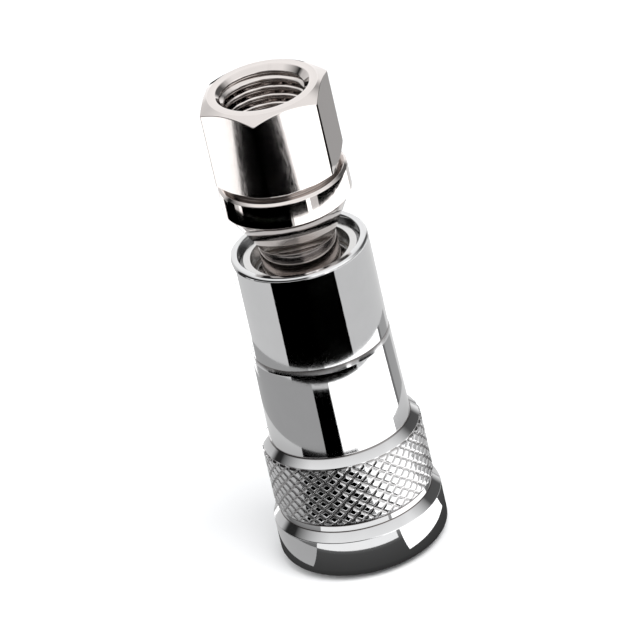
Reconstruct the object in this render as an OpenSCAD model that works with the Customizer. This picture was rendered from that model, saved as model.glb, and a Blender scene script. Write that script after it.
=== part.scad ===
// Quick disconnect coupler for compressed air: a sleeve-locked socket with a female threaded rear port.
// The coupler stands on its mouth. z = 0 is the mouth face and +Z runs along the axis to the rear port.
// Threads are drawn as plain cylinders at the radius that the mating part meets.

/* [Rear adapter] */
// Width across flats of the hexagon
hex_af = 17; // [16.5:0.1:18]
// Length of the hexagon
hex_len = 13.1; // [12.5:0.1:14]
// Radius of the flat ring left on the hexagon's end face by its chamfer
hex_face_r = 7.95; // [7.6:0.05:8.2]
// Angle of the hexagon's chamfers, from the end face
hex_chamfer = 30; // [20:5:45]
// Radius of the round collar in front of the hexagon
collar_r = 9.35; // [8.8:0.05:9.6]
// Length of the collar
collar_len = 4.3; // [3:0.1:6]
// Radius of the neck that enters the body
neck_r = 5.7; // [5.2:0.1:6.2]
// Length of the cone between the neck and the collar
neck_cone_len = 6; // [4:0.5:7]
// Gap between the collar and the back of the socket body
neck_gap = 8.5; // [8:0.1:12]

/* [Rear port] */
// Radius of the thread's crests in the rear port (G 1/4 minor radius)
port_r = 5.72; // [5.5:0.01:5.9]
// Depth of the threaded wall
port_len = 11.4; // [9:0.1:12]
// Radius of the air passage through the adapter
passage_r = 3.9; // [3:0.1:4.2]

/* [Socket body] */
// Length of the socket body
body_len = 48.5; // [48:0.5:52]
// Radius of the mouth that guides the plug
plug_r = 6; // [5.9:0.05:6.05]
// Radius of the bore that takes the plug's tip
tip_r = 4.6; // [4.5:0.05:4.7]
// Radius of the nose that the sleeve's land rides on
nose_r = 8; // [7.95:0.01:8.02]
// Radius of the waist under the sleeve spring
waist_r = 7.45; // [7.3:0.05:7.5]
// Radius of the rear part that guides the sleeve
rear_r = 8.85; // [8.82:0.01:8.88]

/* [Sleeve] */
// Radius of the sleeve's plain rear part
sleeve_r = 10; // [9.9:0.05:10.2]
// Radius of the sleeve where the cone meets the knurled band
cone_r = 10.35; // [10.2:0.05:10.6]
// Radius over the knurled band
knurl_r = 11.7; // [11.3:0.05:12]
// Radius of the bead at the front
bead_r = 12.35; // [12:0.05:12.6]
// Radius of the rounded front lip
lip_r = 2.7; // [2:0.1:2.7]
// Sleeve's bore over the spring
sleeve_bore_r = 8.9; // [8.9:0.01:8.95]
// How far the sleeve slides back to release the plug
sleeve_travel = 5; // [4:0.5:5]

/* [Locking balls] */
// Radius of a ball
ball_r = 1.4; // [1.38:0.01:1.4]
// Height of the balls above the mouth
ball_z = 10.5; // [10.5:0.1:11]
// Distance of a ball's centre from the axis while it locks
ball_lock = 6.65; // [6.62:0.01:6.68]
// How far a ball moves out as the sleeve slides back
ball_travel = 0.75; // [0.7:0.01:0.75]

/* [Valve] */
// Radius of the valve chamber
chamber_r = 6.2; // [6.1:0.05:6.3]
// Radius of the poppet's flange
flange_r = 5.5; // [5.3:0.1:5.6]
// Radius of the poppet's stem
stem_r = 2; // [1.8:0.1:2.2]
// Radius of the poppet's front tube
tube_r = 4.3; // [4.1:0.1:4.4]

/* [Springs] */
// Radius of the sleeve spring's wire
sleeve_wire_r = 0.5; // [0.4:0.05:0.55]
// Turns of the sleeve spring
sleeve_turns = 8; // [6:1:9]
// Radius of the valve spring's wire
valve_wire_r = 0.4; // [0.3:0.05:0.45]
// Turns of the valve spring
valve_turns = 7; // [5:1:8]

/* [Hidden] */

$fn = 64;
gap = 0.02;          // clearance between pieces that rest on each other
run = 0.05;          // radial running clearance
over = 1;            // how far a cutting tool reaches past the wall it cuts
arc_steps = 8;       // straight steps in a rounded corner

// Stations along the axis, from the mouth to the rear port
mouth_flare = 1.2;                              // depth of the flare at the plug's entry
track_z = 8.8;                                  // the mouth widens a little here, round the balls
track_r = plug_r + 0.2;
shoulder_z = 13.2;                              // the plug's shoulder stops here
tip_z = shoulder_z + 1;                         // the tip bore starts here
seal_z = tip_z + 2;                             // the plug seal's groove starts here
seal_groove = 1.9;
seat_front_z = seal_z + seal_groove;            // the seat ring lies behind the plug seal
seat_z = seat_front_z + 3.9;                    // the valve closes on this face
nose_end_z = 15;                                // the nose ends and the waist starts
waist_end_z = 31;                               // the sleeve spring pushes on this shoulder
guide_z = 38;                                   // the valve guide rests here
guide_len = 2;
thread_r = 6.6;                                 // joint thread between body and adapter
thread_end_z = body_len - 2.5;
counterbore_r = 7.2;
adapter_z = guide_z + guide_len + gap;
collar_z = body_len + neck_gap;
groove_z = collar_z + collar_len;
hex_z = groove_z + 0.7;
total_len = hex_z + hex_len;
port_flare = 1.1;
port_z = total_len - port_flare - port_len;

ball_count = 8;                                 // NODES names each ball

// Snap ring and its groove
ring_z = 4.3;
ring_len = 1;
ring_in_r = 7.4;
ring_out_r = 9.35;
ring_open_deg = 46;

// Sleeve stations
sleeve_z = 0.5;
sleeve_end_z = 49.5;
mouth_recess_r = ring_out_r + 0.25;
recess_end_z = ring_z + ring_len + 0.1;
cam_slope = ball_travel / sleeve_travel;
cam_r = ball_lock + (ball_r + 0.03) / cos(atan(cam_slope));   // cam radius over the balls at rest
land_r = nose_r + run;
land_z = ball_z + (cam_r - land_r) / cam_slope;
land_end_z = 14.5;
washer_len = 0.8;
spring_z = land_end_z + washer_len + 2 * gap;
bead_z = 6.6;
groove_floor_r = 11.2;
knurl_z = 9.2;
knurl_end_z = 18.4;
cone_z = knurl_end_z + knurl_r - cone_r;        // a 45 degree shoulder ends the knurled band
cone_end_z = 33.4;
sleeve_edge = 1.05;                             // rounding of the sleeve's rear edge

// Valve stations
poppet_z = seat_front_z + 0.6;
tube_bore_r = tube_r - 1.2;
washer_z = seat_z + 2 * gap;
flange_z = washer_z + 1.45;
flange_end_z = flange_z + 1.7;
stem_end_z = guide_z + guide_len + 1.2;
hub_r = 3.2;
valve_coil_r = (flange_r + hub_r) / 2 - 0.15;
sleeve_coil_r = (waist_r + sleeve_bore_r) / 2;

function ball_angle(i) = (i - 0.5) * 360 / ball_count;

// Points of an arc about (r, z), from angle a to angle b
function arc(r, z, radius, a, b) =
    [for (i = [0 : arc_steps])
        let (t = a + (b - a) * i / arc_steps)
        [r + radius * cos(t), z + radius * sin(t)]];

// A ring turned from a rectangle
module ring(inner, outer, z, len) {
    translate([0, 0, z]) difference() {
        cylinder(r = outer, h = len);
        translate([0, 0, -over]) cylinder(r = inner, h = len + 2 * over);
    }
}

// A rubber ring of round section, centred at height z
module o_ring(r, section, z) {
    translate([0, 0, z]) rotate_extrude() translate([r, 0]) circle(r = section, $fn = 32);
}

// Points of one cross-section of a coil's wire: t runs from 0 at the bottom to 1 at the top
function coil_section(t, coil_r, wire_r, z0, z1, turns, sides) =
    let (
        a = 360 * turns * t,
        flat = 0.75 / turns,                    // share of the length in each closed end turn
        rise = min(1, max(0, (t - flat) / (1 - 2 * flat))),
        z = z0 + wire_r + (z1 - z0 - 2 * wire_r) * (0.12 * t + 0.88 * rise)
    )
    [for (i = [0 : sides - 1])
        let (
            b = 360 * i / sides,
            r = coil_r + wire_r * cos(b)
        )
        [r * cos(a), r * sin(a), z + wire_r * sin(b)]];

// A compression spring with closed ends, as one swept wire
module coil_spring(coil_r, wire_r, z0, z1, turns) {
    sides = 6;
    rings = 16 * turns;
    points = [for (k = [0 : rings])
        each coil_section(k / rings, coil_r, wire_r * 0.98, z0, z1, turns, sides)];
    skin = [for (k = [0 : rings - 1], i = [0 : sides - 1])
        let (n = (i + 1) % sides)
        [k * sides + i, (k + 1) * sides + i, (k + 1) * sides + n, k * sides + n]];
    polyhedron(
        points = points,
        faces = concat(
            skin,
            [[for (i = [0 : sides - 1]) i]],
            [[for (i = [sides - 1 : -1 : 0]) rings * sides + i]]
        )
    );
}

// Hexagonal nut shape with chamfered ends
module hexagon() {
    corner_r = hex_af / 2 / cos(30);
    reach = corner_r + 0.01;
    low_face_r = hex_af / 2 + 0.1;
    intersection() {
        rotate(30) cylinder(r = corner_r, h = hex_len, $fn = 6);
        rotate_extrude() polygon([
            [0, 0],
            [low_face_r, 0],
            [reach, (reach - low_face_r) * tan(hex_chamfer)],
            [reach, hex_len - (reach - hex_face_r) * tan(hex_chamfer)],
            [hex_face_r, hex_len],
            [0, hex_len]
        ]);
    }
}

// Outline of the adapter's round part, from its front end to the hexagon
module adapter_outline() {
    spigot_r = thread_r - run;
    seal_floor_r = spigot_r - 1.2;
    edge = 0.35;
    polygon([
        [0, adapter_z],
        [spigot_r - edge, adapter_z],
        [spigot_r, adapter_z + edge],
        [spigot_r, adapter_z + 1.3],
        [seal_floor_r, adapter_z + 1.3],
        [seal_floor_r, adapter_z + 3.1],
        [spigot_r, adapter_z + 3.1],
        [spigot_r, thread_end_z],
        [neck_r, thread_end_z + 0.4],
        [neck_r, collar_z - neck_cone_len],
        [collar_r - 0.55, collar_z - 0.2],
        [collar_r - 0.35, collar_z],
        [collar_r, collar_z + edge],
        [collar_r, groove_z - edge],
        [collar_r - edge, groove_z],
        [hex_af / 2 - 0.35, groove_z],
        [hex_af / 2 - 0.35, hex_z + over],
        [0, hex_z + over]
    ]);
}

// Hexagon, collar, neck and joint spigot, bored through and threaded at the back
module rear_adapter() {
    drill_len = (port_r - passage_r) / tan(59);
    color("silver") difference() {
        union() {
            rotate_extrude() adapter_outline();
            translate([0, 0, hex_z]) hexagon();
        }
        translate([0, 0, adapter_z - over])
            cylinder(r = passage_r, h = port_z - adapter_z + over);
        translate([0, 0, port_z - drill_len])
            cylinder(r1 = passage_r, r2 = port_r, h = drill_len);
        translate([0, 0, port_z]) cylinder(r = port_r, h = port_len + over / 2);
        translate([0, 0, total_len - port_flare])
            cylinder(r1 = port_r, r2 = port_r + port_flare, h = port_flare);
        translate([0, 0, total_len - 0.001])
            cylinder(r = port_r + port_flare, h = over);
    }
}

// Rubber ring that seals the joint between body and adapter
module joint_seal() {
    color("#202020") o_ring(thread_r - 0.63, 0.58, adapter_z + 2.2);
}

// Outside of the socket body, from its mouth to its back
module body_outline() {
    edge = 0.4;
    rear_edge = 0.6;
    polygon([
        [0, 0],
        [nose_r - edge, 0],
        [nose_r, edge],
        [nose_r, ring_z - run],
        [ring_in_r - run, ring_z - run],
        [ring_in_r - run, ring_z + ring_len + run],
        [nose_r, ring_z + ring_len + run],
        [nose_r, nose_end_z],
        [waist_r, nose_end_z + 0.3],
        [waist_r, waist_end_z],
        [rear_r, waist_end_z],
        [rear_r, body_len - rear_edge],
        [rear_r - rear_edge, body_len],
        [0, body_len]
    ]);
}

// The passage through the socket body
module body_passage() {
    translate([0, 0, -0.001])
        cylinder(r1 = plug_r + 0.9, r2 = plug_r, h = mouth_flare + 0.001);
    translate([0, 0, mouth_flare - 0.1]) cylinder(r = plug_r, h = track_z - mouth_flare + 0.2);
    translate([0, 0, track_z]) cylinder(r = track_r, h = shoulder_z - track_z);
    translate([0, 0, shoulder_z]) cylinder(r1 = track_r, r2 = tip_r, h = tip_z - shoulder_z);
    translate([0, 0, tip_z - 0.1]) cylinder(r = tip_r, h = seal_z - tip_z + 0.2);
    translate([0, 0, seal_z]) cylinder(r = chamber_r, h = guide_z - seal_z + 0.1);
    translate([0, 0, guide_z]) cylinder(r = thread_r, h = thread_end_z - guide_z + 0.1);
    translate([0, 0, thread_end_z]) cylinder(r = counterbore_r, h = body_len - thread_end_z + over);
}

// One ball's hole: a narrow lip at the bore keeps the ball in
module ball_hole() {
    lip_hole_r = ball_r - 0.04;
    lip_top = ball_lock - 0.35;
    translate([lip_top - 1, 0, ball_z]) rotate([0, 90, 0]) cylinder(r = lip_hole_r, h = 1.1);
    translate([lip_top, 0, ball_z]) rotate([0, 90, 0])
        cylinder(r = ball_r + 0.03, h = nose_r - lip_top + over);
}

// Tube that takes the plug, holds the balls and carries the valve
module socket_body() {
    color("gainsboro") difference() {
        rotate_extrude() body_outline();
        body_passage();
        for (i = [1 : ball_count]) rotate(ball_angle(i)) ball_hole();
    }
}

// Rubber ring that seals on the plug's tip
module plug_seal() {
    section = 0.86;
    color("#202020") o_ring(chamber_r - section - 0.01, section, seal_z + seal_groove / 2);
}

// Brass ring that holds the plug seal in and is the valve's seat
module valve_seat_ring() {
    lip_len = 0.4;
    color("goldenrod") union() {
        ring(tip_r, chamber_r - gap, seat_front_z + gap, seat_z - seat_front_z - gap - lip_len);
        ring(tip_r, tip_r + 0.7, seat_z - lip_len - 0.1, lip_len + 0.1);
    }
}

// Poppet: a tube that the plug pushes, a flange that carries the seal, and a guided stem
module valve_poppet() {
    spigot_r = valve_coil_r - valve_wire_r - 0.15;
    port_count = 4;
    color("goldenrod") difference() {
        union() {
            translate([0, 0, poppet_z]) cylinder(r = tube_r, h = flange_z - poppet_z + 0.1);
            translate([0, 0, flange_z]) cylinder(r = flange_r, h = flange_end_z - flange_z);
            translate([0, 0, flange_end_z - 0.1]) cylinder(r = spigot_r, h = 1.3);
            translate([0, 0, flange_end_z]) cylinder(r = stem_r, h = stem_end_z - flange_end_z);
        }
        translate([0, 0, poppet_z - over]) cylinder(r = tube_bore_r, h = seat_z - poppet_z + over);
        for (i = [0 : port_count - 1])
            translate([0, 0, seat_z - 1.3]) rotate([0, 90, 45 + i * 360 / port_count])
                cylinder(r = 0.9, h = tube_r + over);
    }
}

// Flat rubber ring on the poppet, which closes on the seat
module valve_seal() {
    color("#202020") ring(tube_r + gap, flange_r, washer_z, flange_z - washer_z - gap);
}

// Spring that closes the valve
module valve_spring() {
    color("silver")
        coil_spring(valve_coil_r, valve_wire_r, flange_end_z + gap, guide_z - gap, valve_turns);
}

// Disc that guides the poppet's stem and lets the air past
module valve_guide() {
    hole_count = 6;
    hole_r = 1.25;
    color("goldenrod") difference() {
        union() {
            translate([0, 0, guide_z + gap]) cylinder(r = thread_r - run, h = guide_len - 2 * gap);
            translate([0, 0, guide_z - 1.2]) cylinder(r = hub_r, h = guide_len);
        }
        translate([0, 0, guide_z - over - 1.2])
            cylinder(r = stem_r + run, h = guide_len + 2 * over + 1.2);
        for (i = [0 : hole_count - 1]) rotate(i * 360 / hole_count)
            translate([hub_r + hole_r + 0.15, 0, guide_z - over])
                cylinder(r = hole_r, h = guide_len + 2 * over);
    }
}

// Outline of the sleeve's wall: outside from front to back, then inside from back to front
module sleeve_outline() {
    edge_r = sleeve_r - sleeve_edge;
    polygon(concat(
        [[mouth_recess_r, sleeve_z]],
        arc(bead_r - lip_r, sleeve_z + lip_r, lip_r, -90, 0),
        [
            [bead_r, bead_z - 0.2],
            [bead_r - 0.2, bead_z],
            [groove_floor_r, bead_z + 1.2],
            [groove_floor_r, knurl_z - 0.4],
            [knurl_r, knurl_z],
            [knurl_r, knurl_end_z],
            [cone_r, cone_z],
            [sleeve_r + 0.12, cone_end_z],
            [sleeve_r, cone_end_z + 0.8]
        ],
        arc(edge_r, sleeve_end_z - sleeve_edge, sleeve_edge, 0, 90),
        [
            [sleeve_bore_r, sleeve_end_z - 0.03],
            [sleeve_bore_r, land_end_z],
            [land_r, land_end_z],
            [land_r, land_z],
            [cam_r + cam_slope * (ball_z - recess_end_z), recess_end_z],
            [mouth_recess_r, recess_end_z]
        ]
    ));
}

// Sliding sleeve: pulled back by its knurled band, it frees the balls
module sleeve() {
    color("gainsboro") rotate_extrude() sleeve_outline();
}

// Washer between the sleeve's land and its spring, so that the sleeve can turn
module thrust_washer() {
    color("silver") ring(nose_r + run + 0.03, sleeve_bore_r - run, land_end_z + gap, washer_len);
}

// Spring that pushes the sleeve forward
module sleeve_spring() {
    color("silver")
        coil_spring(sleeve_coil_r, sleeve_wire_r, spring_z, waist_end_z - gap, sleeve_turns);
}

// Open ring in the nose's groove, which stops the sleeve
module snap_ring() {
    color("dimgray") rotate(90 + ring_open_deg / 2) translate([0, 0, ring_z])
        rotate_extrude(angle = 360 - ring_open_deg)
            translate([ring_in_r, 0]) square([ring_out_r - ring_in_r, ring_len]);
}

// Ball number i, in its hole
module lock_ball(i) {
    color("lightgray") rotate(ball_angle(i)) translate([ball_lock, 0, ball_z]) sphere(r = ball_r);
}

rear_adapter();
joint_seal();
socket_body();
plug_seal();
valve_seat_ring();
valve_poppet();
valve_seal();
valve_spring();
valve_guide();
sleeve();
thrust_washer();
sleeve_spring();
snap_ring();
lock_ball(1);  // lock_ball_1
lock_ball(2);  // lock_ball_2
lock_ball(3);  // lock_ball_3
lock_ball(4);  // lock_ball_4
lock_ball(5);  // lock_ball_5
lock_ball(6);  // lock_ball_6
lock_ball(7);  // lock_ball_7
lock_ball(8);  // lock_ball_8
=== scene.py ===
import math

import bmesh
import bpy
import numpy as np
from mathutils import Matrix, Vector


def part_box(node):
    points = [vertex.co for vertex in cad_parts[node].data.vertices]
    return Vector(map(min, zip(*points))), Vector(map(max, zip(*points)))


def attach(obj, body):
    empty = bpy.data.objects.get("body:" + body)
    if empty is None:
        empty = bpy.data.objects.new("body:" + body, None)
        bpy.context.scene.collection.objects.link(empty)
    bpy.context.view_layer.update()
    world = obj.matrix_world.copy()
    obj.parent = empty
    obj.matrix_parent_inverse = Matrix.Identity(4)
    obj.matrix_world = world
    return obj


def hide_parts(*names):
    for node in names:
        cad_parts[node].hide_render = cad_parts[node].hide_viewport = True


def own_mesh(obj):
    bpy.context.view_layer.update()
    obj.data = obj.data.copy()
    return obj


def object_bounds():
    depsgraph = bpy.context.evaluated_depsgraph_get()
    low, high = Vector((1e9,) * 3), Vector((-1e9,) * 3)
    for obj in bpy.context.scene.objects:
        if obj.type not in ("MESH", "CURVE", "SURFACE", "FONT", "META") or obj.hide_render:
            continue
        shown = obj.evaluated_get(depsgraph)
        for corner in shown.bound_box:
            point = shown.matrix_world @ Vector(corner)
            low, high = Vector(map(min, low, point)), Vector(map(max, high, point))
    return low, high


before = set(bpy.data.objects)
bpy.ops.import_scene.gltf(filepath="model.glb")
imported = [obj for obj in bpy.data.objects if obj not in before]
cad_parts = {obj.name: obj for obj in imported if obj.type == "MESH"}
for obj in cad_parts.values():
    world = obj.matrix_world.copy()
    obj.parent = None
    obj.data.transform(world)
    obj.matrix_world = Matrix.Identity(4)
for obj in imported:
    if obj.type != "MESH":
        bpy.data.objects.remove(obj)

CAD_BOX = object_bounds()
MM = 0.001
TAU = 2 * math.pi

# The coupler stands on its mouth. Heights are in millimetres above the mouth face, and radii from the axis.


def low_high(node):
    """Lowest and highest z of a CAD node, and its largest radius along X, in millimetres."""
    low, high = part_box(node)
    return low.z / MM, high.z / MM, high.x / MM


# ---------------------------------------------------------------- outlines and meshes


def unit(v):
    return v / max(np.linalg.norm(v), 1e-12)


def rounded_corner(before, here, after, rounding, arc_deg):
    """Points of the arc that rounds a corner, tangent to the runs on both sides and short enough to fit."""
    back, on = unit(before - here), unit(after - here)
    turn = math.pi - math.acos(np.clip(back @ on, -1, 1))
    room = 0.45 * min(np.linalg.norm(before - here), np.linalg.norm(after - here))
    reach = min(rounding * math.tan(turn / 2), room)
    radius = reach / math.tan(turn / 2)
    centre = here + unit(back + on) * radius / math.cos(turn / 2)
    first, last = here + back * reach - centre, here + on * reach - centre
    steps = max(2, math.ceil(math.degrees(turn) / arc_deg - 0.01))
    return [centre + radius * unit(first * math.sin((1 - t) * turn) + last * math.sin(t * turn))
            for t in np.linspace(0, 1, steps + 1)]


def outline(corners, closed=True, arc_deg=12):
    """Points of an outline from corners (r, z, rounding). Long straight runs get points near their ends, so
    that shading and wear stay at the edge. A fourth number in a corner says how many points the run after it
    gets."""
    count = len(corners)
    places = [np.array(corner[:2], float) for corner in corners]
    arcs = []
    for i, here in enumerate(places):
        rounding = corners[i][2]
        if not rounding or (not closed and i in (0, count - 1)):
            arcs.append([here])
        else:
            arcs.append(rounded_corner(places[i - 1], here, places[(i + 1) % count], rounding, arc_deg))
    result = []
    for i, arc in enumerate(arcs):
        result.extend(arc)
        if not closed and i == count - 1:
            break
        start, end = arc[-1], arcs[(i + 1) % count][0]
        length = np.linalg.norm(end - start)
        inner = corners[i][3] if len(corners[i]) > 3 else (length > 0.8) * (2 + int(length / 2.5))
        margin = min(0.1 / max(length, 1e-6), 0.3)
        result.extend(start + (end - start) * t for t in np.linspace(margin, 1 - margin, inner))
    return np.array(result)


def turned(points, angles):
    """Outline points (r, z) turned about the axis: rows of 3-D points in millimetres."""
    r, z = np.asarray(points)[:, 0], np.asarray(points)[:, 1]
    return np.stack([np.outer(r, np.cos(angles)), np.outer(r, np.sin(angles)),
                     np.repeat(z[:, None], len(angles), 1)], -1)


def even_angles(count):
    return np.arange(count) * TAU / count


class Shell:
    """A mesh gathered from grids of points, welded where they meet."""

    def __init__(self):
        self.points = []
        self.quads = []

    def grid(self, rows, wrap=True, closed=False):
        """Adds a grid of points, rows by columns. wrap joins the last column to the first, closed the last
        row."""
        rows = np.asarray(rows, float)
        height, width = rows.shape[:2]
        base = sum(len(p) for p in self.points)
        self.points.append(rows.reshape(-1, 3))
        j = np.arange(height if closed else height - 1)
        i = np.arange(width if wrap else width - 1)
        jj, ii = np.meshgrid(j, i, indexing="ij")
        up, along = (jj + 1) % height, (ii + 1) % width
        quads = np.stack([jj * width + ii, jj * width + along, up * width + along, up * width + ii], -1)
        self.quads.append(quads.reshape(-1, 4) + base)
        return self

    def cap(self, ring):
        """Closes a ring of points with a fan about its middle."""
        ring = np.asarray(ring, float)
        middle = np.repeat(ring.mean(0)[None], len(ring), 0)
        return self.grid([ring, middle])

    def welded(self):
        points, quads = np.concatenate(self.points), np.concatenate(self.quads)
        keys = np.round(points / 2e-4).astype(np.int64)
        _, first, index = np.unique(keys, axis=0, return_index=True, return_inverse=True)
        faces = []
        for quad in index.reshape(-1)[quads]:
            face = list(dict.fromkeys(quad.tolist()))
            if len(face) > 2:
                faces.append(face)
        return points[first] * MM, faces


def surface_normals(mesh):
    """Normals at the vertices, each face counted by its area, so that flat faces stay flat to their edge."""
    normals = np.zeros((len(mesh.vertices), 3))
    area = np.zeros(len(mesh.polygons))
    direction = np.zeros(len(mesh.polygons) * 3)
    mesh.polygons.foreach_get("area", area)
    mesh.polygons.foreach_get("normal", direction)
    weighted = direction.reshape(-1, 3) * area[:, None]
    total = np.zeros(len(mesh.polygons), int)
    mesh.polygons.foreach_get("loop_total", total)
    corner_vertex = np.zeros(len(mesh.loops), int)
    mesh.loops.foreach_get("vertex_index", corner_vertex)
    np.add.at(normals, corner_vertex, np.repeat(weighted, total, 0))
    return normals / np.maximum(np.linalg.norm(normals, axis=1, keepdims=True), 1e-20)


def mark_edges(mesh, normals):
    """Stores how sharply the surface turns at each vertex: edge on outward corners, recess in inward ones."""
    place = np.zeros(len(mesh.vertices) * 3)
    mesh.vertices.foreach_get("co", place)
    place = place.reshape(-1, 3)
    pairs = np.zeros(len(mesh.edges) * 2, int)
    mesh.edges.foreach_get("vertices", pairs)
    a, b = pairs.reshape(-1, 2).T
    step = place[b] - place[a]
    length = np.maximum(np.linalg.norm(step, axis=1), 1e-7)
    bend = np.einsum("ij,ij->i", normals[b] - normals[a], step) / length ** 2
    turn = np.zeros(len(place))
    np.maximum.at(turn, a, bend)
    np.maximum.at(turn, b, bend)
    dip = np.zeros(len(place))
    np.minimum.at(dip, a, bend)
    np.minimum.at(dip, b, bend)
    sharp = 4000.0
    for name, value in (("edge", np.clip(turn / sharp, 0, 1)), ("recess", np.clip(-dip / sharp, 0, 1))):
        attribute = mesh.attributes.new(name, "FLOAT", "POINT")
        attribute.data.foreach_set("value", value.astype(np.float32))


def piece(name, shell, body, slot, material, replaces=(), custom_normals=True):
    """Makes the shell into one closed object, on its body, with its finish."""
    points, faces = shell.welded()
    mesh = bpy.data.meshes.new(name)
    mesh.from_pydata([tuple(p) for p in points], [], faces)
    work = bmesh.new()
    work.from_mesh(mesh)
    bmesh.ops.recalc_face_normals(work, faces=work.faces)
    work.to_mesh(mesh)
    work.free()
    mesh.polygons.foreach_set("use_smooth", [True] * len(mesh.polygons))
    mesh.update()
    normals = surface_normals(mesh)
    mark_edges(mesh, normals)
    if custom_normals:
        mesh.normals_split_custom_set_from_vertices(normals)
    mesh.materials.append(material)
    obj = bpy.data.objects.new(name, mesh)
    bpy.context.scene.collection.objects.link(obj)
    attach(obj, body)
    if replaces:
        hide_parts(*replaces)
    return obj


def square_loop(side):
    """A loop round a square from its lower left corner: coordinates from -1 to 1, and direction from its
    middle."""
    steps, ones = np.linspace(-1, 1, side + 1)[:-1], np.ones(side)
    u = np.concatenate([steps, ones, -steps, -ones])
    v = np.concatenate([-ones, steps, ones, -steps])
    return u, v, np.arctan2(v, u)


def pierced_wall(shell, radius, z_low, z_high, hole_z, hole_r, count, side):
    """A cylinder wall between two heights with round radial holes, one in the middle of each sector.
    side is the number of steps along each edge of a sector. Returns the rim of every hole."""
    half = math.pi / count
    u, v, turn = square_loop(side)
    rims = []
    for i in range(count):
        middle = (2 * i + 1) * half
        along, up = hole_r * np.cos(turn), hole_r * np.sin(turn)
        rim_angle = middle + np.arcsin(along / radius)
        edge_angle = middle + half * u
        edge_z = np.where(v < 0, hole_z + (z_low - hole_z) * -v, hole_z + (z_high - hole_z) * v)
        rows = []
        for t in (0, 0.06, 0.2, 0.45, 0.7, 1):
            angle = rim_angle * (1 - t) + edge_angle * t
            z = (hole_z + up) * (1 - t) + edge_z * t
            rows.append(np.stack([radius * np.cos(angle), radius * np.sin(angle), z], -1))
        shell.grid(rows)
        rims.append(rows[0])
    return rims


def radial_hole(middle, hole_z, hole_r, x, side):
    """The circle of a radial hole at distance x from the axis, as pierced_wall orders its rim."""
    turn = square_loop(side)[2]
    across, up = hole_r * np.cos(turn), hole_r * np.sin(turn)
    c, s = math.cos(middle), math.sin(middle)
    return np.stack([x * c - across * s, x * s + across * c, hole_z + up], -1)


# ---------------------------------------------------------------- materials


class Tree:
    """Short way to write a node tree."""

    def __init__(self, owner):
        owner.use_nodes = True
        self.tree = owner.node_tree
        self.tree.nodes.clear()

    def add(self, kind, settings=None, **inputs):
        """A node of that kind. Inputs are constants or other nodes' sockets, named with _ for a space, or
        i0, i1 by number."""
        node = self.tree.nodes.new("ShaderNode" + kind)
        for key, value in (settings or {}).items():
            setattr(node, key, value)
        for key, value in inputs.items():
            numbered = key[0] == "i" and key[1:].isdigit()
            self.feed(node.inputs[int(key[1:]) if numbered else key.replace("_", " ")], value)
        return node

    def feed(self, socket, value):
        if isinstance(value, bpy.types.NodeSocket):
            self.tree.links.new(value, socket)
        else:
            socket.default_value = value

    def math(self, operation, a, b=0.0, clamp=False):
        return self.add("Math", {"operation": operation, "use_clamp": clamp}, i0=a, i1=b).outputs[0]

    def ramp(self, value, *stops):
        """Maps a value from 0 to 1 through (position, grey or colour) stops."""
        node = self.add("ValToRGB", i0=value)
        elements = node.color_ramp.elements
        while len(elements) < len(stops):
            elements.new(0.5)
        for element, (position, colour) in zip(elements, stops):
            element.position = position
            element.color = (*colour, 1) if isinstance(colour, tuple) else (colour, colour, colour, 1)
        return node.outputs[0]

    def mix(self, share, a, b):
        """Colour a turning to colour b."""
        node = self.add("Mix", {"data_type": "RGBA"}, i0=share)
        for socket, value in ((node.inputs[6], a), (node.inputs[7], b)):
            self.feed(socket, value if isinstance(value, bpy.types.NodeSocket) else (*value, 1))
        return node.outputs[2]

    def place(self):
        return self.add("TexCoord").outputs["Object"]

    def noise(self, scale, detail=3.0, vector=None, rough=0.5):
        """Noise of that many cells to the millimetre."""
        return self.add("TexNoise", Vector=vector or self.place(), Scale=scale / MM, Detail=detail,
                        Roughness=rough).outputs[0]

    def lines(self, fineness, detail=4.0):
        """Lines that run round the axis, as a lathe tool leaves them: noise of height and radius alone."""
        split = self.add("SeparateXYZ", i0=self.place())
        squares = [self.math("POWER", split.outputs[axis], 2.0) for axis in (0, 1)]
        radius = self.math("SQRT", self.math("ADD", *squares))
        along = self.math("ADD", split.outputs[2], radius)
        return self.add("TexNoise", {"noise_dimensions": "1D"}, W=along, Scale=fineness / MM, Detail=detail,
                        Roughness=0.6).outputs[0]

    def scratches(self, fineness, share, stretch=14.0, turn=0.5):
        """Thin scattered scratches: 1 on a scratch, 0 elsewhere."""
        mapped = self.add("Mapping", Vector=self.place(), Rotation=(turn, turn * 1.7, turn * 0.6),
                          Scale=(1.0, stretch, 1.0))
        value = self.noise(fineness, 2.0, mapped.outputs[0])
        return self.ramp(value, (0.5 - share, 0.0), (0.5, 1.0), (0.5 + share, 0.0))

    def attribute(self, name):
        return self.add("Attribute", {"attribute_name": name}).outputs["Fac"]

    def bump(self, height, depth, strength=1.0, normal=None):
        """Bump of that depth in millimetres."""
        node = self.add("Bump", Height=height, Distance=depth * MM, Strength=strength)
        if normal is not None:
            self.feed(node.inputs["Normal"], normal)
        return node.outputs[0]

    def finish(self, **inputs):
        shader = self.add("BsdfPrincipled", **inputs)
        self.add("OutputMaterial", Surface=shader.outputs[0])


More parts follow.
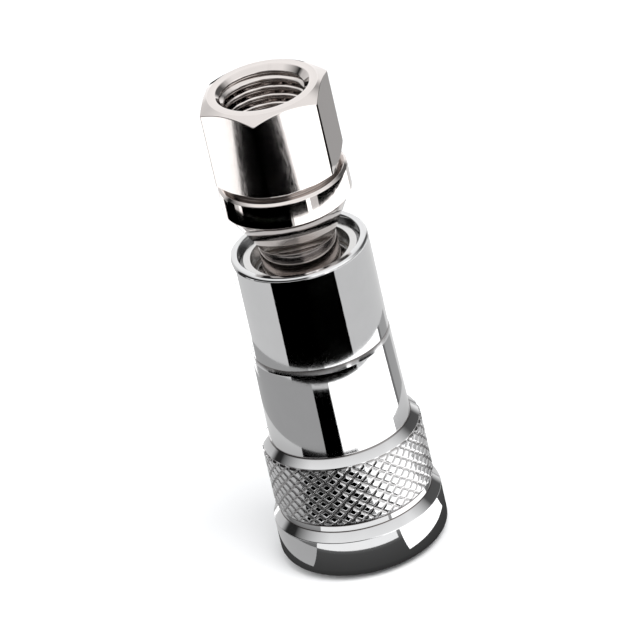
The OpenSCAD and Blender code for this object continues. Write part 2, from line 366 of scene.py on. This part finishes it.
def metal(name, colour, dark, rough, turning=0.5, scratching=0.5, recess_shade=0.5, wear=None, line_pitch=6.0,
          wave=0.5):
    """Metal with turning lines, hair scratches, faint smudges, painted shade in its recesses and a brighter
    edge. dark is the colour of its stains and of the painted shade in its corners. turning, scratching,
    recess_shade and wave scale the lines, the scratches, the painted shade and roughness in recesses and the
    surface's slow unevenness."""
    material = bpy.data.materials.new(name)
    t = Tree(material)
    smudge = t.ramp(t.noise(0.12, 5.0, rough=0.62), (0.35, 0.0), (0.7, 1.0))
    cloud = t.ramp(t.noise(0.45, 4.0), (0.3, 0.0), (0.75, 1.0))
    lines = t.lines(line_pitch)
    scratch = t.math("MAXIMUM", t.scratches(0.5, 0.012), t.scratches(0.33, 0.009, 18.0, 1.9))
    # Painted shade: this mask darkens the colour towards dark in inward corners, and also makes them rougher.
    recess = t.math("MULTIPLY", t.attribute("recess"), recess_shade, True)
    edge = t.math("MULTIPLY", t.attribute("edge"), 0.7, True)
    stained = tuple(0.86 * a + 0.14 * b for a, b in zip(colour, dark))
    tint = t.mix(t.math("MULTIPLY", cloud, 0.22), colour, stained)
    tint = t.mix(t.math("MULTIPLY", edge, 0.6), tint, wear or tuple(min(1.0, 1.12 * a) for a in colour))
    tint = t.mix(recess, tint, dark)
    roughness = t.math("ADD", rough, t.math("MULTIPLY", smudge, 0.012 + rough * 0.35))
    roughness = t.math("ADD", roughness, t.math("MULTIPLY", lines, rough * 0.35 * turning))
    roughness = t.math("ADD", roughness, t.math("MULTIPLY", scratch, 0.10 * scratching))
    roughness = t.math("ADD", roughness, t.math("MULTIPLY", recess, 0.25), True)
    normal = t.bump(lines, 0.0016 * turning)
    normal = t.bump(scratch, 0.0012 * scratching, normal=normal)
    normal = t.bump(t.noise(0.22, 2.0), 0.004, wave, normal)
    t.finish(Base_Color=tint, Metallic=1.0, Roughness=roughness, Normal=normal)
    return material


def rubber(name, colour):
    """Moulded rubber: matt, with a fine grain, a rougher bloom of paler dust and painted shade in its
    recesses.
    """
    material = bpy.data.materials.new(name)
    t = Tree(material)
    grain = t.noise(9.0, 3.0)
    bloom = t.ramp(t.noise(0.8, 5.0), (0.45, 0.0), (0.8, 1.0))
    tint = t.mix(t.math("MULTIPLY", bloom, 0.35), colour, tuple(c * 2.4 + 0.01 for c in colour))
    # Painted shade: inward corners darkened to near black by the recess attribute.
    tint = t.mix(t.attribute("recess"), tint, (0.004, 0.004, 0.004))
    roughness = t.math("ADD", 0.42, t.math("MULTIPLY", bloom, 0.25))
    normal = t.bump(grain, 0.006, 0.7)
    t.finish(Base_Color=tint, Roughness=roughness, Specular_IOR_Level=0.4, Normal=normal)
    return material


def make_materials():
    return {
        "chromed_sleeve": metal("chrome", (0.595, 0.597, 0.603), (0.06, 0.045, 0.04), 0.022, turning=0.02,
                                scratching=0.1, recess_shade=0.95, wave=0.03),
        "plated_adapter": metal("nickel", (0.63, 0.592, 0.575), (0.16, 0.12, 0.10), 0.022, turning=0.02,
                                scratching=0.06, recess_shade=0.5, wave=0.02),
        "plated_body": metal("body_plating", (0.58, 0.575, 0.57), (0.12, 0.10, 0.08), 0.11, turning=1.0,
                             scratching=0.6, recess_shade=0.8),
        "spring_steel": metal("spring_wire", (0.36, 0.35, 0.34), (0.07, 0.055, 0.045), 0.24, turning=0.5,
                              scratching=0.8, recess_shade=0.6, line_pitch=10.0),
        "ring_steel": metal("phosphated_steel", (0.10, 0.098, 0.095), (0.03, 0.025, 0.02), 0.38, turning=0.3,
                            scratching=0.8, recess_shade=0.5, wear=(0.32, 0.31, 0.30)),
        "ball_steel": metal("ball_polish", (0.62, 0.615, 0.61), (0.2, 0.18, 0.16), 0.03, turning=0.1,
                            scratching=0.4, recess_shade=0.2),
        "brass": metal("brass", (0.72, 0.52, 0.24), (0.20, 0.11, 0.04), 0.16, turning=1.2, scratching=0.5,
                       recess_shade=0.9, wear=(0.85, 0.68, 0.36)),
        "black_rubber": rubber("nitrile_rubber", (0.012, 0.012, 0.013)),
    }


MATERIALS = make_materials()


# ---------------------------------------------------------------- the pieces

# Heights and radii that a CAD node's box doesn't give are named at the top of each piece's function.


def add_piece(name, shell, body, slot, *nodes, **options):
    return piece(name, shell, body, slot, MATERIALS[slot], nodes, **options)


def ring_piece(name, corners, body, slot, *nodes, columns=128):
    """A plain turned ring."""
    shell = Shell().grid(turned(outline(corners), even_angles(columns)), closed=True)
    return add_piece(name, shell, body, slot, *nodes)


KNURL_LOW, KNURL_HIGH = 9.2, 18.4       # the knurled band's ends
KNURL_R = 11.7                          # radius over the diamonds
KNURL_DEPTH = 0.22
KNURL_BEVEL = 0.16                      # length of the slope at the band's ends
KNURL_AROUND = 36                       # diamonds round the band
KNURL_ROWS = 5                          # diamonds along it
KNURL_STEPS = 6                         # mesh steps to half a diamond
KNURL_FLAT = 2 / 3                      # share of a diamond that is its flat top


def from_lattice(u, v):
    """Distance to the nearest whole-number point, measured along u and v, doubled."""
    return 2 * (abs(u - np.round(u)) + abs(v - np.round(v)))


def knurl_height(angle, z):
    """Height of the knurl, from 0 in a groove to 1 on a diamond's flat top."""
    u = angle * KNURL_AROUND / TAU
    v = (z - KNURL_LOW) * KNURL_ROWS / (KNURL_HIGH - KNURL_LOW)
    nearest = np.minimum(from_lattice(u, v), from_lattice(u + 0.5, v + 0.5))
    return np.clip((1 - nearest) / (1 - KNURL_FLAT), 0, 1)


def build_sleeve():
    low, high, bead_r = low_high("sleeve")
    lip_round, bead_high = 2.7, 6.6
    groove_r, groove_low, groove_high = 11.2, 7.8, 8.8
    rim_r = KNURL_R - KNURL_DEPTH
    cone_low, cone_low_r, cone_high, cone_high_r, cone_step = 19.75, 10.35, 33.4, 10.12, 0.8
    rear_r, rear_round, bore_r = 10.0, 1.05, 8.9
    land_r, land_low, land_high, cam_r = 8.05, 10.81, 14.5, 8.86
    recess_r, recess_high = 9.6, 5.4        # the recess over the snap ring
    angles = even_angles(KNURL_AROUND * 2 * KNURL_STEPS)
    front = outline([
        (recess_r, recess_high, 0), (recess_r, low, 0.25), (bead_r, low, lip_round),
        (bead_r, bead_high, 0.18), (groove_r, groove_low, 0.12), (groove_r, groove_high, 0.12),
        (rim_r, KNURL_LOW, 0)], closed=False, arc_deg=15)
    rows_z = np.linspace(KNURL_LOW, KNURL_HIGH, KNURL_ROWS * 2 * KNURL_STEPS + 1)
    zz, aa = np.meshgrid(rows_z, angles, indexing="ij")
    from_end = np.minimum(zz - KNURL_LOW, KNURL_HIGH - zz)
    radius = rim_r + KNURL_DEPTH * np.minimum(knurl_height(aa, zz), from_end / KNURL_BEVEL)
    band = np.stack([radius * np.cos(aa), radius * np.sin(aa), zz], -1)
    back = outline([
        (rim_r, KNURL_HIGH, 0), (rim_r, KNURL_HIGH + KNURL_DEPTH, 0.08), (cone_low_r, cone_low, 0.3),
        (cone_high_r, cone_high, 0.3), (rear_r, cone_high + cone_step, 0.3), (rear_r, high, rear_round),
        (bore_r, high, 0.15), (bore_r, land_high, 0.2), (land_r, land_high, 0.12), (land_r, land_low, 0.3),
        (cam_r, recess_high, 0.1), (recess_r, recess_high, 0)], closed=False, arc_deg=15)
    shell = Shell()
    shell.grid(turned(front, angles))
    shell.grid(band)
    shell.grid(turned(back, angles))
    add_piece("release_sleeve", shell, "sleeve", "chromed_sleeve", "sleeve")


HEX_AF = 17.0                           # width across flats
HEX_LOW = 62.0                          # front end of the hexagon
HEX_EDGE = 0.35                         # rounding of its six long edges
PORT_R, PORT_MAJOR_R, PORT_PITCH = 5.72, 6.5, 1.337
PORT_LOW, PORT_FLARE = 62.6, 1.1


def hexagon_columns():
    """Column angles round the adapter, close together at the hexagon's edges, and its radius at each."""
    middle = (HEX_AF / 2 - HEX_EDGE) / math.cos(math.pi / 6)
    bend = math.atan(HEX_EDGE * 0.5 / (middle + HEX_EDGE * math.cos(math.pi / 6)))
    angles, radii = [], []
    for side in range(6):
        corner = math.pi / 6 + side * math.pi / 3
        for t in np.linspace(-bend, bend, 5):
            angles.append(corner + t)
            radii.append(middle * math.cos(t) + math.sqrt(HEX_EDGE ** 2 - (middle * math.sin(t)) ** 2))
        for t in np.linspace(bend, math.pi / 3 - bend, 19)[1:-1]:
            angles.append(corner + t)
            radii.append(HEX_AF / 2 / math.cos(t - math.pi / 6))
    return np.array(angles), np.array(radii)


def port_wall(angles, high):
    """The rear port's threaded wall, from its flared mouth down. The thread runs out at the bottom."""
    z = np.linspace(high, PORT_LOW, int((high - PORT_LOW) / PORT_PITCH * 14) + 1)
    zz, aa = np.meshgrid(z, angles, indexing="ij")
    turn = zz / PORT_PITCH - aa / TAU
    wave = 2 * abs(turn - np.floor(turn) - 0.5)
    groove = np.clip((wave - 0.12) / 0.76, 0, 1)
    run_out = 0.8
    fade = np.clip((zz - PORT_LOW - run_out) / PORT_PITCH, 0, 1)
    radius = PORT_R + (PORT_MAJOR_R - PORT_R) * groove * fade
    radius = np.maximum(radius, PORT_R + PORT_FLARE - (high - zz))
    return np.stack([radius * np.cos(aa), radius * np.sin(aa), zz], -1)


def adapter_column(radius, low, high):
    """Outline of the adapter where the hexagon's surface is at this radius: from the port's mouth over
    hexagon, collar and neck to the spigot, and up the passage."""
    face_r, slope = 7.95, math.tan(math.radians(30))
    chamfer = max(0.14, radius - HEX_AF / 2 - 0.1)
    edge, groove_r, groove_low = 0.35, 8.15, 61.3
    collar_r, collar_low, cone_r, cone_high = 9.35, 57.35, 8.8, 56.8
    neck_r, neck_high, neck_low = 5.7, 51.0, 46.4
    spigot_r, spigot_high, spigot_edge_r = 6.55, 46.0, 6.2
    seal_r, seal_low, seal_high = 5.35, 41.32, 43.12
    passage_r, drill_low = 3.9, 61.5
    return outline([
        (PORT_R + PORT_FLARE, high, 0, 2), (face_r, high, 0.12, 2),
        (radius, high - (radius - face_r) * slope, 0.12, 7), (radius, HEX_LOW + chamfer * slope, 0.08, 0),
        (radius - chamfer, HEX_LOW, 0.03, 0), (groove_r, HEX_LOW, 0.1), (groove_r, groove_low, 0.1),
        (collar_r - edge, groove_low, 0.05), (collar_r, groove_low - edge, 0.12),
        (collar_r, collar_low, 0.12), (cone_r, cone_high, 0.12), (neck_r, neck_high, 0.7),
        (neck_r, neck_low, 0.1), (spigot_r, spigot_high, 0.1), (spigot_r, seal_high, 0.05),
        (seal_r, seal_high, 0.08), (seal_r, seal_low, 0.08), (spigot_r, seal_low, 0.05),
        (spigot_r, low + edge, 0.1), (spigot_edge_r, low, 0.1), (passage_r, low, 0.2),
        (passage_r, drill_low, 0.3), (PORT_R, PORT_LOW, 0)], closed=False)


def build_adapter():
    low, high, _ = low_high("rear_adapter")
    angles, hexagon = hexagon_columns()
    profile = np.stack([adapter_column(r, low, high) for r in hexagon], 1)
    radius, z = profile[..., 0], profile[..., 1]
    shell = Shell()
    shell.grid(np.stack([radius * np.cos(angles), radius * np.sin(angles), z], -1))
    shell.grid(port_wall(angles, high))
    add_piece("rear_adapter_body", shell, "socket", "plated_adapter", "rear_adapter")


BALL_COUNT = 8
BALL_R, BALL_Z, BALL_LOCK_R = 1.4, 10.5, 6.65
NOSE_R, TRACK_R = 8.0, 6.2
SECTOR_STEPS = 16                       # mesh steps along each edge of a ball's sector


def build_body():
    low, high, rear_r = low_high("socket_body")
    outer_low, outer_high, inner_low, inner_high = 8.2, 12.8, 8.95, 12.2    # the bands round the balls' holes
    track_low, track_high, plug_r, mouth_r, mouth_flare = 8.8, 13.2, 6.0, 6.9, 1.2
    ring_r, ring_low, ring_high = 7.35, 4.25, 5.35
    nose_high, waist_r, waist_low, waist_high = 15.0, 7.45, 15.3, 31.0
    rear_edge, counterbore_r, joint_r, joint_high, joint_low = 0.6, 7.2, 6.6, 46.0, 38.0
    chamber_r, seal_low, tip_r, tip_low = 6.2, 16.2, 4.6, 14.2
    angles = even_angles(BALL_COUNT * SECTOR_STEPS)
    mouth = outline([
        (TRACK_R, inner_low, 0), (TRACK_R, track_low, 0.05), (plug_r, track_low, 0.08),
        (plug_r, mouth_flare, 0.4), (mouth_r, low, 0.3), (NOSE_R, low, 0.4), (NOSE_R, ring_low, 0.08),
        (ring_r, ring_low, 0.08), (ring_r, ring_high, 0.08), (NOSE_R, ring_high, 0.08),
        (NOSE_R, outer_low, 0)], closed=False)
    rest = outline([
        (NOSE_R, outer_high, 0), (NOSE_R, nose_high, 0.12), (waist_r, waist_low, 0.2),
        (waist_r, waist_high, 0.25), (rear_r, waist_high, 0.15), (rear_r, high - rear_edge, 0.15),
        (rear_r - rear_edge, high, 0.12), (counterbore_r, high, 0.12), (counterbore_r, joint_high, 0.1),
        (joint_r, joint_high, 0.1), (joint_r, joint_low, 0.1), (chamber_r, joint_low, 0.1),
        (chamber_r, seal_low, 0.1), (tip_r, seal_low, 0.12), (tip_r, tip_low, 0.3),
        (TRACK_R, track_high, 0.15), (TRACK_R, inner_high, 0)], closed=False)
    shell = Shell()
    shell.grid(turned(mouth, angles))
    shell.grid(turned(rest, angles))
    wide, narrow = BALL_R + 0.03, BALL_R - 0.04
    outer = pierced_wall(shell, NOSE_R, outer_low, outer_high, BALL_Z, wide, BALL_COUNT, SECTOR_STEPS)
    inner = pierced_wall(shell, TRACK_R, inner_low, inner_high, BALL_Z, narrow, BALL_COUNT, SECTOR_STEPS)
    lip_x = BALL_LOCK_R - 0.35
    for i in range(BALL_COUNT):
        middle = (2 * i + 1) * math.pi / BALL_COUNT
        lip = radial_hole(middle, BALL_Z, narrow, lip_x, SECTOR_STEPS)
        step = radial_hole(middle, BALL_Z, wide, lip_x + 0.05, SECTOR_STEPS)
        shell.grid([inner[i], lip, step, outer[i]])
    add_piece("ball_carrier_body", shell, "socket", "plated_body", "socket_body")


def build_balls():
    """Cube-based spheres, one over each CAD ball."""
    steps = np.tan(np.linspace(-math.pi / 4, math.pi / 4, 13))
    u, v = np.meshgrid(steps, steps, indexing="ij")
    for i in range(1, BALL_COUNT + 1):
        angle = (i - 0.5) * TAU / BALL_COUNT
        centre = np.array([BALL_LOCK_R * math.cos(angle), BALL_LOCK_R * math.sin(angle), BALL_Z])
        shell = Shell()
        for axis in range(3):
            for side in (-1, 1):
                face = np.stack([u, v, np.full_like(u, side)], -1)[..., np.roll(range(3), axis)]
                face = face / np.linalg.norm(face, axis=-1, keepdims=True)
                shell.grid(centre + BALL_R * 0.999 * face, wrap=False)
        add_piece(f"locking_ball_{i}", shell, f"ball_{i}", "ball_steel", f"lock_ball_{i}")


def build_snap_ring():
    """An open ring with rounded ends."""
    low, high, outer_r = low_high("snap_ring")
    inner_r, edge, opening = 7.4, 0.15, math.radians(46)
    first_end, sweep = math.pi / 2 + opening / 2, TAU - opening
    middle_r, middle_z = (inner_r + outer_r) / 2, (low + high) / 2
    section = outline([
        (inner_r, low, edge), (outer_r, low, edge), (outer_r, high, edge), (inner_r, high, edge)])
    round_len = 0.9 / middle_r
    ease = np.linspace(0, math.pi / 2, 8)
    ends = round_len * (1 - np.cos(ease))
    spread = np.sin(ease)
    angles = np.concatenate([ends, np.linspace(round_len, sweep - round_len, 97)[1:-1], sweep - ends[::-1]])
    widths = np.concatenate([spread, np.ones(95), spread[::-1]])
    rows = []
    for angle, width in zip(first_end + angles, widths):
        r = middle_r + (section[:, 0] - middle_r) * max(width, 0.02)
        z = middle_z + (section[:, 1] - middle_z) * (0.85 + 0.15 * width)
        rows.append(np.stack([r * math.cos(angle), r * math.sin(angle), z], -1))
    shell = Shell().grid(rows)
    shell.cap(rows[0])
    shell.cap(rows[-1])
    add_piece("retaining_ring", shell, "socket", "ring_steel", "snap_ring")


def build_washer():
    low, high, outer_r = low_high("thrust_washer")
    inner_r, edge = 8.08, 0.12
    ring_piece("spring_washer", [
        (inner_r, low, edge), (outer_r, low, edge), (outer_r, high, edge), (inner_r, high, edge)],
        "washer", "plated_body", "thrust_washer")


def coil_rows(coil_r, wire_r, low, high, turns, sides=14, per_turn=40):
    """Wire sections of a compression spring with closed ends, whose tips are rounded off."""
    t = np.linspace(0, 1, int(turns * per_turn) + 1)
    flat = 0.75 / turns
    rise = np.clip((t - flat) / (1 - 2 * flat), 0, 1)
    z = low + wire_r + (high - low - 2 * wire_r) * (0.12 * t + 0.88 * rise)
    angle = TAU * turns * t
    around = even_angles(sides)
    tip = np.minimum(t, 1 - t) * turns * TAU * coil_r / wire_r
    size = wire_r * 0.985 * np.sqrt(np.clip(1 - np.clip(1 - tip, 0, 0.97) ** 2, 0.05, 1))
    r = coil_r + np.outer(size, np.cos(around))
    height = z[:, None] + np.outer(size, np.sin(around))
    return np.stack([r * np.cos(angle)[:, None], r * np.sin(angle)[:, None], height], -1)


def build_spring(name, node, coil_r, wire_r, turns):
    """A compression spring over its CAD node, fixed to the socket body."""
    low, high, _ = low_high(node)
    low, high = low - wire_r * 0.02, high + wire_r * 0.02
    rows = coil_rows(coil_r, wire_r, low, high, turns)
    shell = Shell().grid(rows)
    shell.cap(rows[0])
    shell.cap(rows[-1])
    spring = add_piece(name, shell, "socket", "spring_steel", node, custom_normals=False)
    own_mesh(spring)


def build_o_ring(name, node, centre_r, section):
    """Rubber ring of round section with the thin line that its mould leaves at its inner and outer edge."""
    low, high, _ = low_high(node)
    turn = even_angles(32)
    flash = 0.03 * (abs(np.cos(turn)) > 0.999)
    radius = section - 0.03 + flash
    points = np.stack([centre_r + radius * np.cos(turn), (low + high) / 2 + radius * np.sin(turn)], -1)
    shell = Shell().grid(turned(points, even_angles(96)), closed=True)
    add_piece(name, shell, "socket", "black_rubber", node)


def build_valve_seat():
    low, high, chamber_r = low_high("valve_seat_ring")
    bore_r, lip_r, lip_low = 4.6, 5.3, 21.6
    ring_piece("brass_valve_seat", [
        (bore_r, low, 0.12), (chamber_r, low, 0.12), (chamber_r, lip_low, 0.12), (lip_r, lip_low, 0.1),
        (lip_r, high, 0.08), (bore_r, high, 0.08)], "socket", "brass", "valve_seat_ring")


def build_valve_seal():
    """Flat rubber ring with a shallow groove where it meets the seat."""
    low, high, seal_r = low_high("valve_seal")
    inner_r, groove_in_r, groove_out_r, groove_depth = 4.32, 5.1, 5.35, 0.12
    ring_piece("valve_seal_disc", [
        (inner_r, low, 0.08), (groove_in_r, low, 0.06), (groove_in_r + 0.05, low + groove_depth, 0.05),
        (groove_out_r - 0.05, low + groove_depth, 0.05), (groove_out_r, low, 0.06), (seal_r, low, 0.12),
        (seal_r, high, 0.12), (inner_r, high, 0.08)], "poppet", "black_rubber", "valve_seal")


def build_poppet():
    """Tube with a ring of ports, a flange for the seal, a spigot for the spring, and a stem."""
    low, high, flange_r = low_high("valve_poppet")
    tube_r, bore_r, bore_high, drill_tip = 4.3, 3.1, 22.0, 22.3
    port_r, port_z, ports, side = 0.9, 20.7, 4, 16
    flange_low, flange_high, spigot_r, spigot_high, stem_r = 23.49, 25.19, 3.65, 26.3, 2.0
    band_low, band_high = port_z - 1.25, port_z + 1.25
    angles = even_angles(ports * side)
    nose = outline([(bore_r, band_low, 0), (bore_r, low, 0.25), (tube_r, low, 0.3), (tube_r, band_low, 0)],
                   closed=False)
    back = outline([
        (tube_r, band_high, 0), (tube_r, flange_low, 0.1), (flange_r, flange_low, 0.12),
        (flange_r, flange_high, 0.2), (spigot_r, flange_high, 0.1), (spigot_r, spigot_high, 0.25),
        (stem_r, spigot_high, 0.2), (stem_r, high, 0.35), (0, high, 0)], closed=False)
    inside = outline([(0, drill_tip, 0), (bore_r, bore_high, 0.2), (bore_r, band_high, 0)], closed=False)
    shell = Shell()
    for part in (nose, back, inside):
        shell.grid(turned(part, angles))
    outer = pierced_wall(shell, tube_r, band_low, band_high, port_z, port_r, ports, side)
    inner = pierced_wall(shell, bore_r, band_low, band_high, port_z, port_r, ports, side)
    for rims in zip(outer, inner):
        shell.grid(rims)
    add_piece("brass_poppet", shell, "poppet", "brass", "valve_poppet")


def build_guide():
    """Disc with a hub for the poppet's stem and a ring of holes for the air."""
    low, high, rim_r = low_high("valve_guide")
    hub_r, stem_r = 3.2, 2.05
    disc_low, disc_high = 38.02, high
    holes, hole_r, hole_at, side = 6, 1.25, 4.6, 12
    web_in, web_out = hub_r + 0.1, rim_r - 0.35
    angles = even_angles(holes * side)
    shell = Shell()
    shell.grid(turned(outline([
        (web_in, disc_low, 0), (hub_r, disc_low, 0.03), (hub_r, low, 0.15), (stem_r, low, 0.2),
        (stem_r, disc_high, 0.2), (web_in, disc_high, 0)], closed=False), angles))
    shell.grid(turned(outline([
        (web_out, disc_high, 0), (rim_r, disc_high, 0.15), (rim_r, disc_low, 0.15), (web_out, disc_low, 0)],
        closed=False), angles))
    u, v, turn = square_loop(side)
    for i in range(holes):
        middle = i * TAU / holes
        along = np.array([math.cos(middle), math.sin(middle)])
        across = np.array([-math.sin(middle), math.cos(middle)])
        rim = hole_at * along + hole_r * (np.outer(np.sin(turn), along) + np.outer(np.cos(turn), across))
        edge_r = np.where(v < 0, hole_at + (web_in - hole_at) * -v, hole_at + (web_out - hole_at) * v)
        edge_a = middle + math.pi / holes * u
        edge = edge_r[:, None] * np.stack([np.cos(edge_a), np.sin(edge_a)], -1)
        walls = []
        for z in (disc_high, disc_low):
            height = np.full(len(rim), z)
            rows = [np.column_stack([rim * (1 - t) + edge * t, height]) for t in (0, 0.08, 0.4, 1)]
            shell.grid(rows)
            walls.append(rows[0])
        shell.grid(walls)
    add_piece("brass_stem_guide", shell, "socket", "brass", "valve_guide")


build_sleeve()
build_adapter()
build_body()
build_balls()
build_snap_ring()
build_washer()
build_spring("sleeve_return_spring", "sleeve_spring", 8.175, 0.5, 8)
build_spring("valve_return_spring", "valve_spring", 4.2, 0.4, 7)
build_o_ring("plug_o_ring", "plug_seal", 5.33, 0.86)
build_o_ring("joint_o_ring", "joint_seal", 5.97, 0.58)
build_valve_seat()
build_valve_seal()
build_poppet()
build_guide()


# ---------------------------------------------------------------- floor, light and camera

VIEW_AZIMUTH, VIEW_ELEVATION, VIEW_ROLL = 15.0, 29.0, 13.1
CENTRE = (CAD_BOX[0] + CAD_BOX[1]) / 2
FRAME_HEIGHT = 0.090                    # height of what the picture shows, at the coupler
LENS = 400.0                            # a long lens, for a flat perspective
CLIP_END = 20.0
SHADE_REACH = 0.05                      # how far from the axis the floor's reflection is darkened, in metres


def toward_camera(azimuth, elevation):
    a, e = math.radians(azimuth), math.radians(elevation)
    return Vector((math.sin(a) * math.cos(e), -math.cos(a) * math.cos(e), math.sin(e)))


def stage_object(name, mesh, material, glossy_only=False):
    mesh.materials.append(material)
    obj = bpy.data.objects.new(name, mesh)
    bpy.context.scene.collection.objects.link(obj)
    if glossy_only:
        obj.visible_camera = obj.visible_diffuse = obj.visible_shadow = obj.visible_transmission = False
    else:
        obj.visible_glossy = False
    return obj


def turned_mesh(name, points, count=96, start=0.0, end=360.0):
    """A turned sheet from points in metres, between two angles in degrees from the camera's side."""
    whole = end - start >= 360
    forward = toward_camera(VIEW_AZIMUTH, 0)
    degrees = np.linspace(start, end, count, endpoint=not whole)
    angles = math.atan2(forward.y, forward.x) + np.radians(degrees)
    shell = Shell().grid(turned(np.array(points) / MM, angles), wrap=whole)
    verts, faces = shell.welded()
    mesh = bpy.data.meshes.new(name)
    mesh.from_pydata([tuple(v) for v in verts], [], faces)
    mesh.polygons.foreach_set("use_smooth", [True] * len(mesh.polygons))
    return mesh


def floor_material():
    material = bpy.data.materials.new("pale_floor")
    t = Tree(material)
    tint = t.mix(t.noise(0.004, 4.0), (0.86, 0.86, 0.865), (0.90, 0.90, 0.90))
    t.finish(Base_Color=tint, Roughness=0.9, Specular_IOR_Level=0.1)
    return material


def glow(name, strength, contact=False):
    """A shining material for what only reflections see. contact darkens it near the axis, like a shadow."""
    material = bpy.data.materials.new(name)
    t = Tree(material)
    value = strength
    if contact:
        distance = t.add("VectorMath", {"operation": "LENGTH"}, i0=t.place()).outputs["Value"]
        near = t.math("DIVIDE", distance, SHADE_REACH, True)
        shade = t.ramp(near, (0.2, 0.04), (0.40, 0.12), (0.52, 0.7), (1.0, 1.0))
        value = t.math("MULTIPLY", shade, strength)
    emission = t.add("Emission", Strength=value)
    t.add("OutputMaterial", Surface=emission.outputs[0])
    return material


# Cards that only reflections see, lying round the coupler, which give the chrome its black and white blocks:
# inner and outer distance from the axis in metres, start and end angle from the camera's side, brightness.
# A card's distance sets the height at which a wall shows it.
CARDS = {
    "card_lip_light": (0.0160, 0.0262, 34, 95, 2.4),
    "card_lip_left": (0.0150, 0.0205, -170, -52, 0.6),
    "card_bead": (0.0205, 0.0262, -52, 30, 1.4),
    "card_knurl_dark": (0.0262, 0.0480, -66, 14, 0.0),
    "card_knurl_light": (0.0262, 0.0480, 17, 84, 2.8),
    "card_cone_left": (0.0480, 0.0708, -170, -29, 0.5),
    "card_cone_bar": (0.0480, 0.0690, -29, -5, 0.0),
    "card_cone_light": (0.0480, 0.0708, -4, 104, 2.6),
    "card_cone_edge": (0.0480, 0.0708, 104, 110, 0.25),
    "card_cone_right": (0.0480, 0.0708, 110, 140, 0.5),
    "card_sleeve": (0.0708, 0.1030, -59, 45, 0.0),
    "card_collar": (0.1030, 0.1185, -144, -2, 0.0),
    "card_collar_light": (0.1030, 0.1185, 2, 140, 2.4),
    "card_hex_left": (0.1185, 0.1700, -94, -87.7, 1.8),
    "card_hex": (0.1185, 0.1600, -87.7, 28.85, 0.0),
    "card_hex_light": (0.1185, 0.1700, 29.0, 36, 2.6),
    "card_hex_edge": (0.1185, 0.1700, 50, 145, 0.0),
    "card_hex_right": (0.1185, 0.1700, 145, 158, 0.45),
    "card_back": (0.0600, 0.3000, 165, 195, 0.0),
    "card_back_light": (0.0600, 0.3000, 200, 222, 2.2),
    "card_back_side": (0.1010, 0.3000, 236, 256, 0.0),
}


def build_stage():
    """A floor that curves up far away, its stand-in for reflections under it, and the cards over it."""
    bowl = [(0.0, 0.0), (0.05, 0.0), (0.4, 0.0), (1.6, 0.0), (1.9, 0.02), (2.2, 0.14), (2.45, 0.4),
            (2.6, 0.9)]
    stage_object("floor", turned_mesh("floor", bowl, 128), floor_material())
    lift = 0.0001
    bounce = turned_mesh("floor_reflection", [(r, -lift) for r in (0.0, 0.02, 0.06, 0.32)], 96)
    stage_object("floor_reflection", bounce, glow("floor_glow", 0.85, contact=True), glossy_only=True)
    for name, (inner, outer, start, end, strength) in CARDS.items():
        mesh = turned_mesh(name, [(inner, 2 * lift), (outer, 2 * lift)], 48, start, end)
        stage_object(name, mesh, glow(name, strength), glossy_only=True)


def share_of_turn(degrees):
    """Where an angle from the camera's side lies on a ramp that runs from -180 to 180 degrees."""
    return degrees / 360 + 0.5


# The tent's walls that reflections see: angle from the camera's side and brightness
PANELS = [(-172, 0.8), (-160, 0.8), (-155, 0.6), (-130, 0.5), (-122, 0.02), (0, 0.02), (10, 1.0), (75, 1.0),
          (86, 0.55), (110, 0.08), (140, 0.08), (150, 0.8)]


def build_world():
    """A pale studio for the camera and for diffuse light. Reflections see a tent of dark and bright walls."""
    world = bpy.data.worlds.new("studio")
    bpy.context.scene.world = world
    t = Tree(world)
    forward = toward_camera(VIEW_AZIMUTH, 0)
    right = Vector((-forward.y, forward.x, 0))
    direction = t.add("TexCoord").outputs["Generated"]
    ahead, aside = (t.add("VectorMath", {"operation": "DOT_PRODUCT"}, i0=direction, i1=tuple(axis))
                    .outputs["Value"] for axis in (forward, right))
    angle = t.math("ARCTAN2", aside, ahead)
    share = t.math("ADD", t.math("DIVIDE", angle, TAU), 0.5)
    panels = t.ramp(share, *((share_of_turn(degrees), brightness) for degrees, brightness in PANELS))
    panels = t.math("MULTIPLY", panels, 1.6)
    height = t.add("SeparateXYZ", i0=direction).outputs[2]
    overhead = t.ramp(height, (0.45, 0.0), (0.75, 1.0))
    tent = t.mix(overhead, panels, (1.25, 1.25, 1.25))
    path = t.add("LightPath")
    plain = t.mix(path.outputs["Is Camera Ray"], (0.9, 0.91, 0.92), (0.93, 0.93, 0.935))
    seen = t.mix(path.outputs["Is Glossy Ray"], plain, tent)
    background = t.add("Background", Color=seen, Strength=1.0)
    t.add("OutputWorld", Surface=background.outputs[0])


def area_light(name, azimuth, elevation, distance, size, power):
    """A round soft light that faces the coupler and that reflections don't see."""
    light = bpy.data.lights.new(name, "AREA")
    light.shape, light.size, light.energy = "DISK", size, power
    obj = bpy.data.objects.new(name, light)
    bpy.context.scene.collection.objects.link(obj)
    back = toward_camera(azimuth, elevation)
    obj.location = CENTRE + back * distance
    obj.rotation_mode = "QUATERNION"
    obj.rotation_quaternion = back.to_track_quat("Z", "Y")
    obj.visible_glossy = False


def build_camera():
    camera = bpy.data.cameras.new("camera")
    camera.lens = LENS
    obj = bpy.data.objects.new("camera", camera)
    bpy.context.scene.collection.objects.link(obj)
    back = toward_camera(VIEW_AZIMUTH, VIEW_ELEVATION)
    distance = FRAME_HEIGHT * camera.lens / camera.sensor_width
    turn = back.to_track_quat("Z", "Y").to_matrix().to_4x4()
    roll = Matrix.Rotation(math.radians(-VIEW_ROLL), 4, "Z")
    obj.matrix_world = Matrix.Translation(CENTRE + back * distance) @ turn @ roll
    camera.clip_end = CLIP_END
    bpy.context.scene.camera = obj


build_stage()
build_world()
area_light("key_light", 60, 55, 0.6, 0.5, 3.0)
area_light("fill_light", -50, 40, 0.8, 0.7, 1.5)
build_camera()
bpy.context.scene.view_settings.view_transform = "Standard"
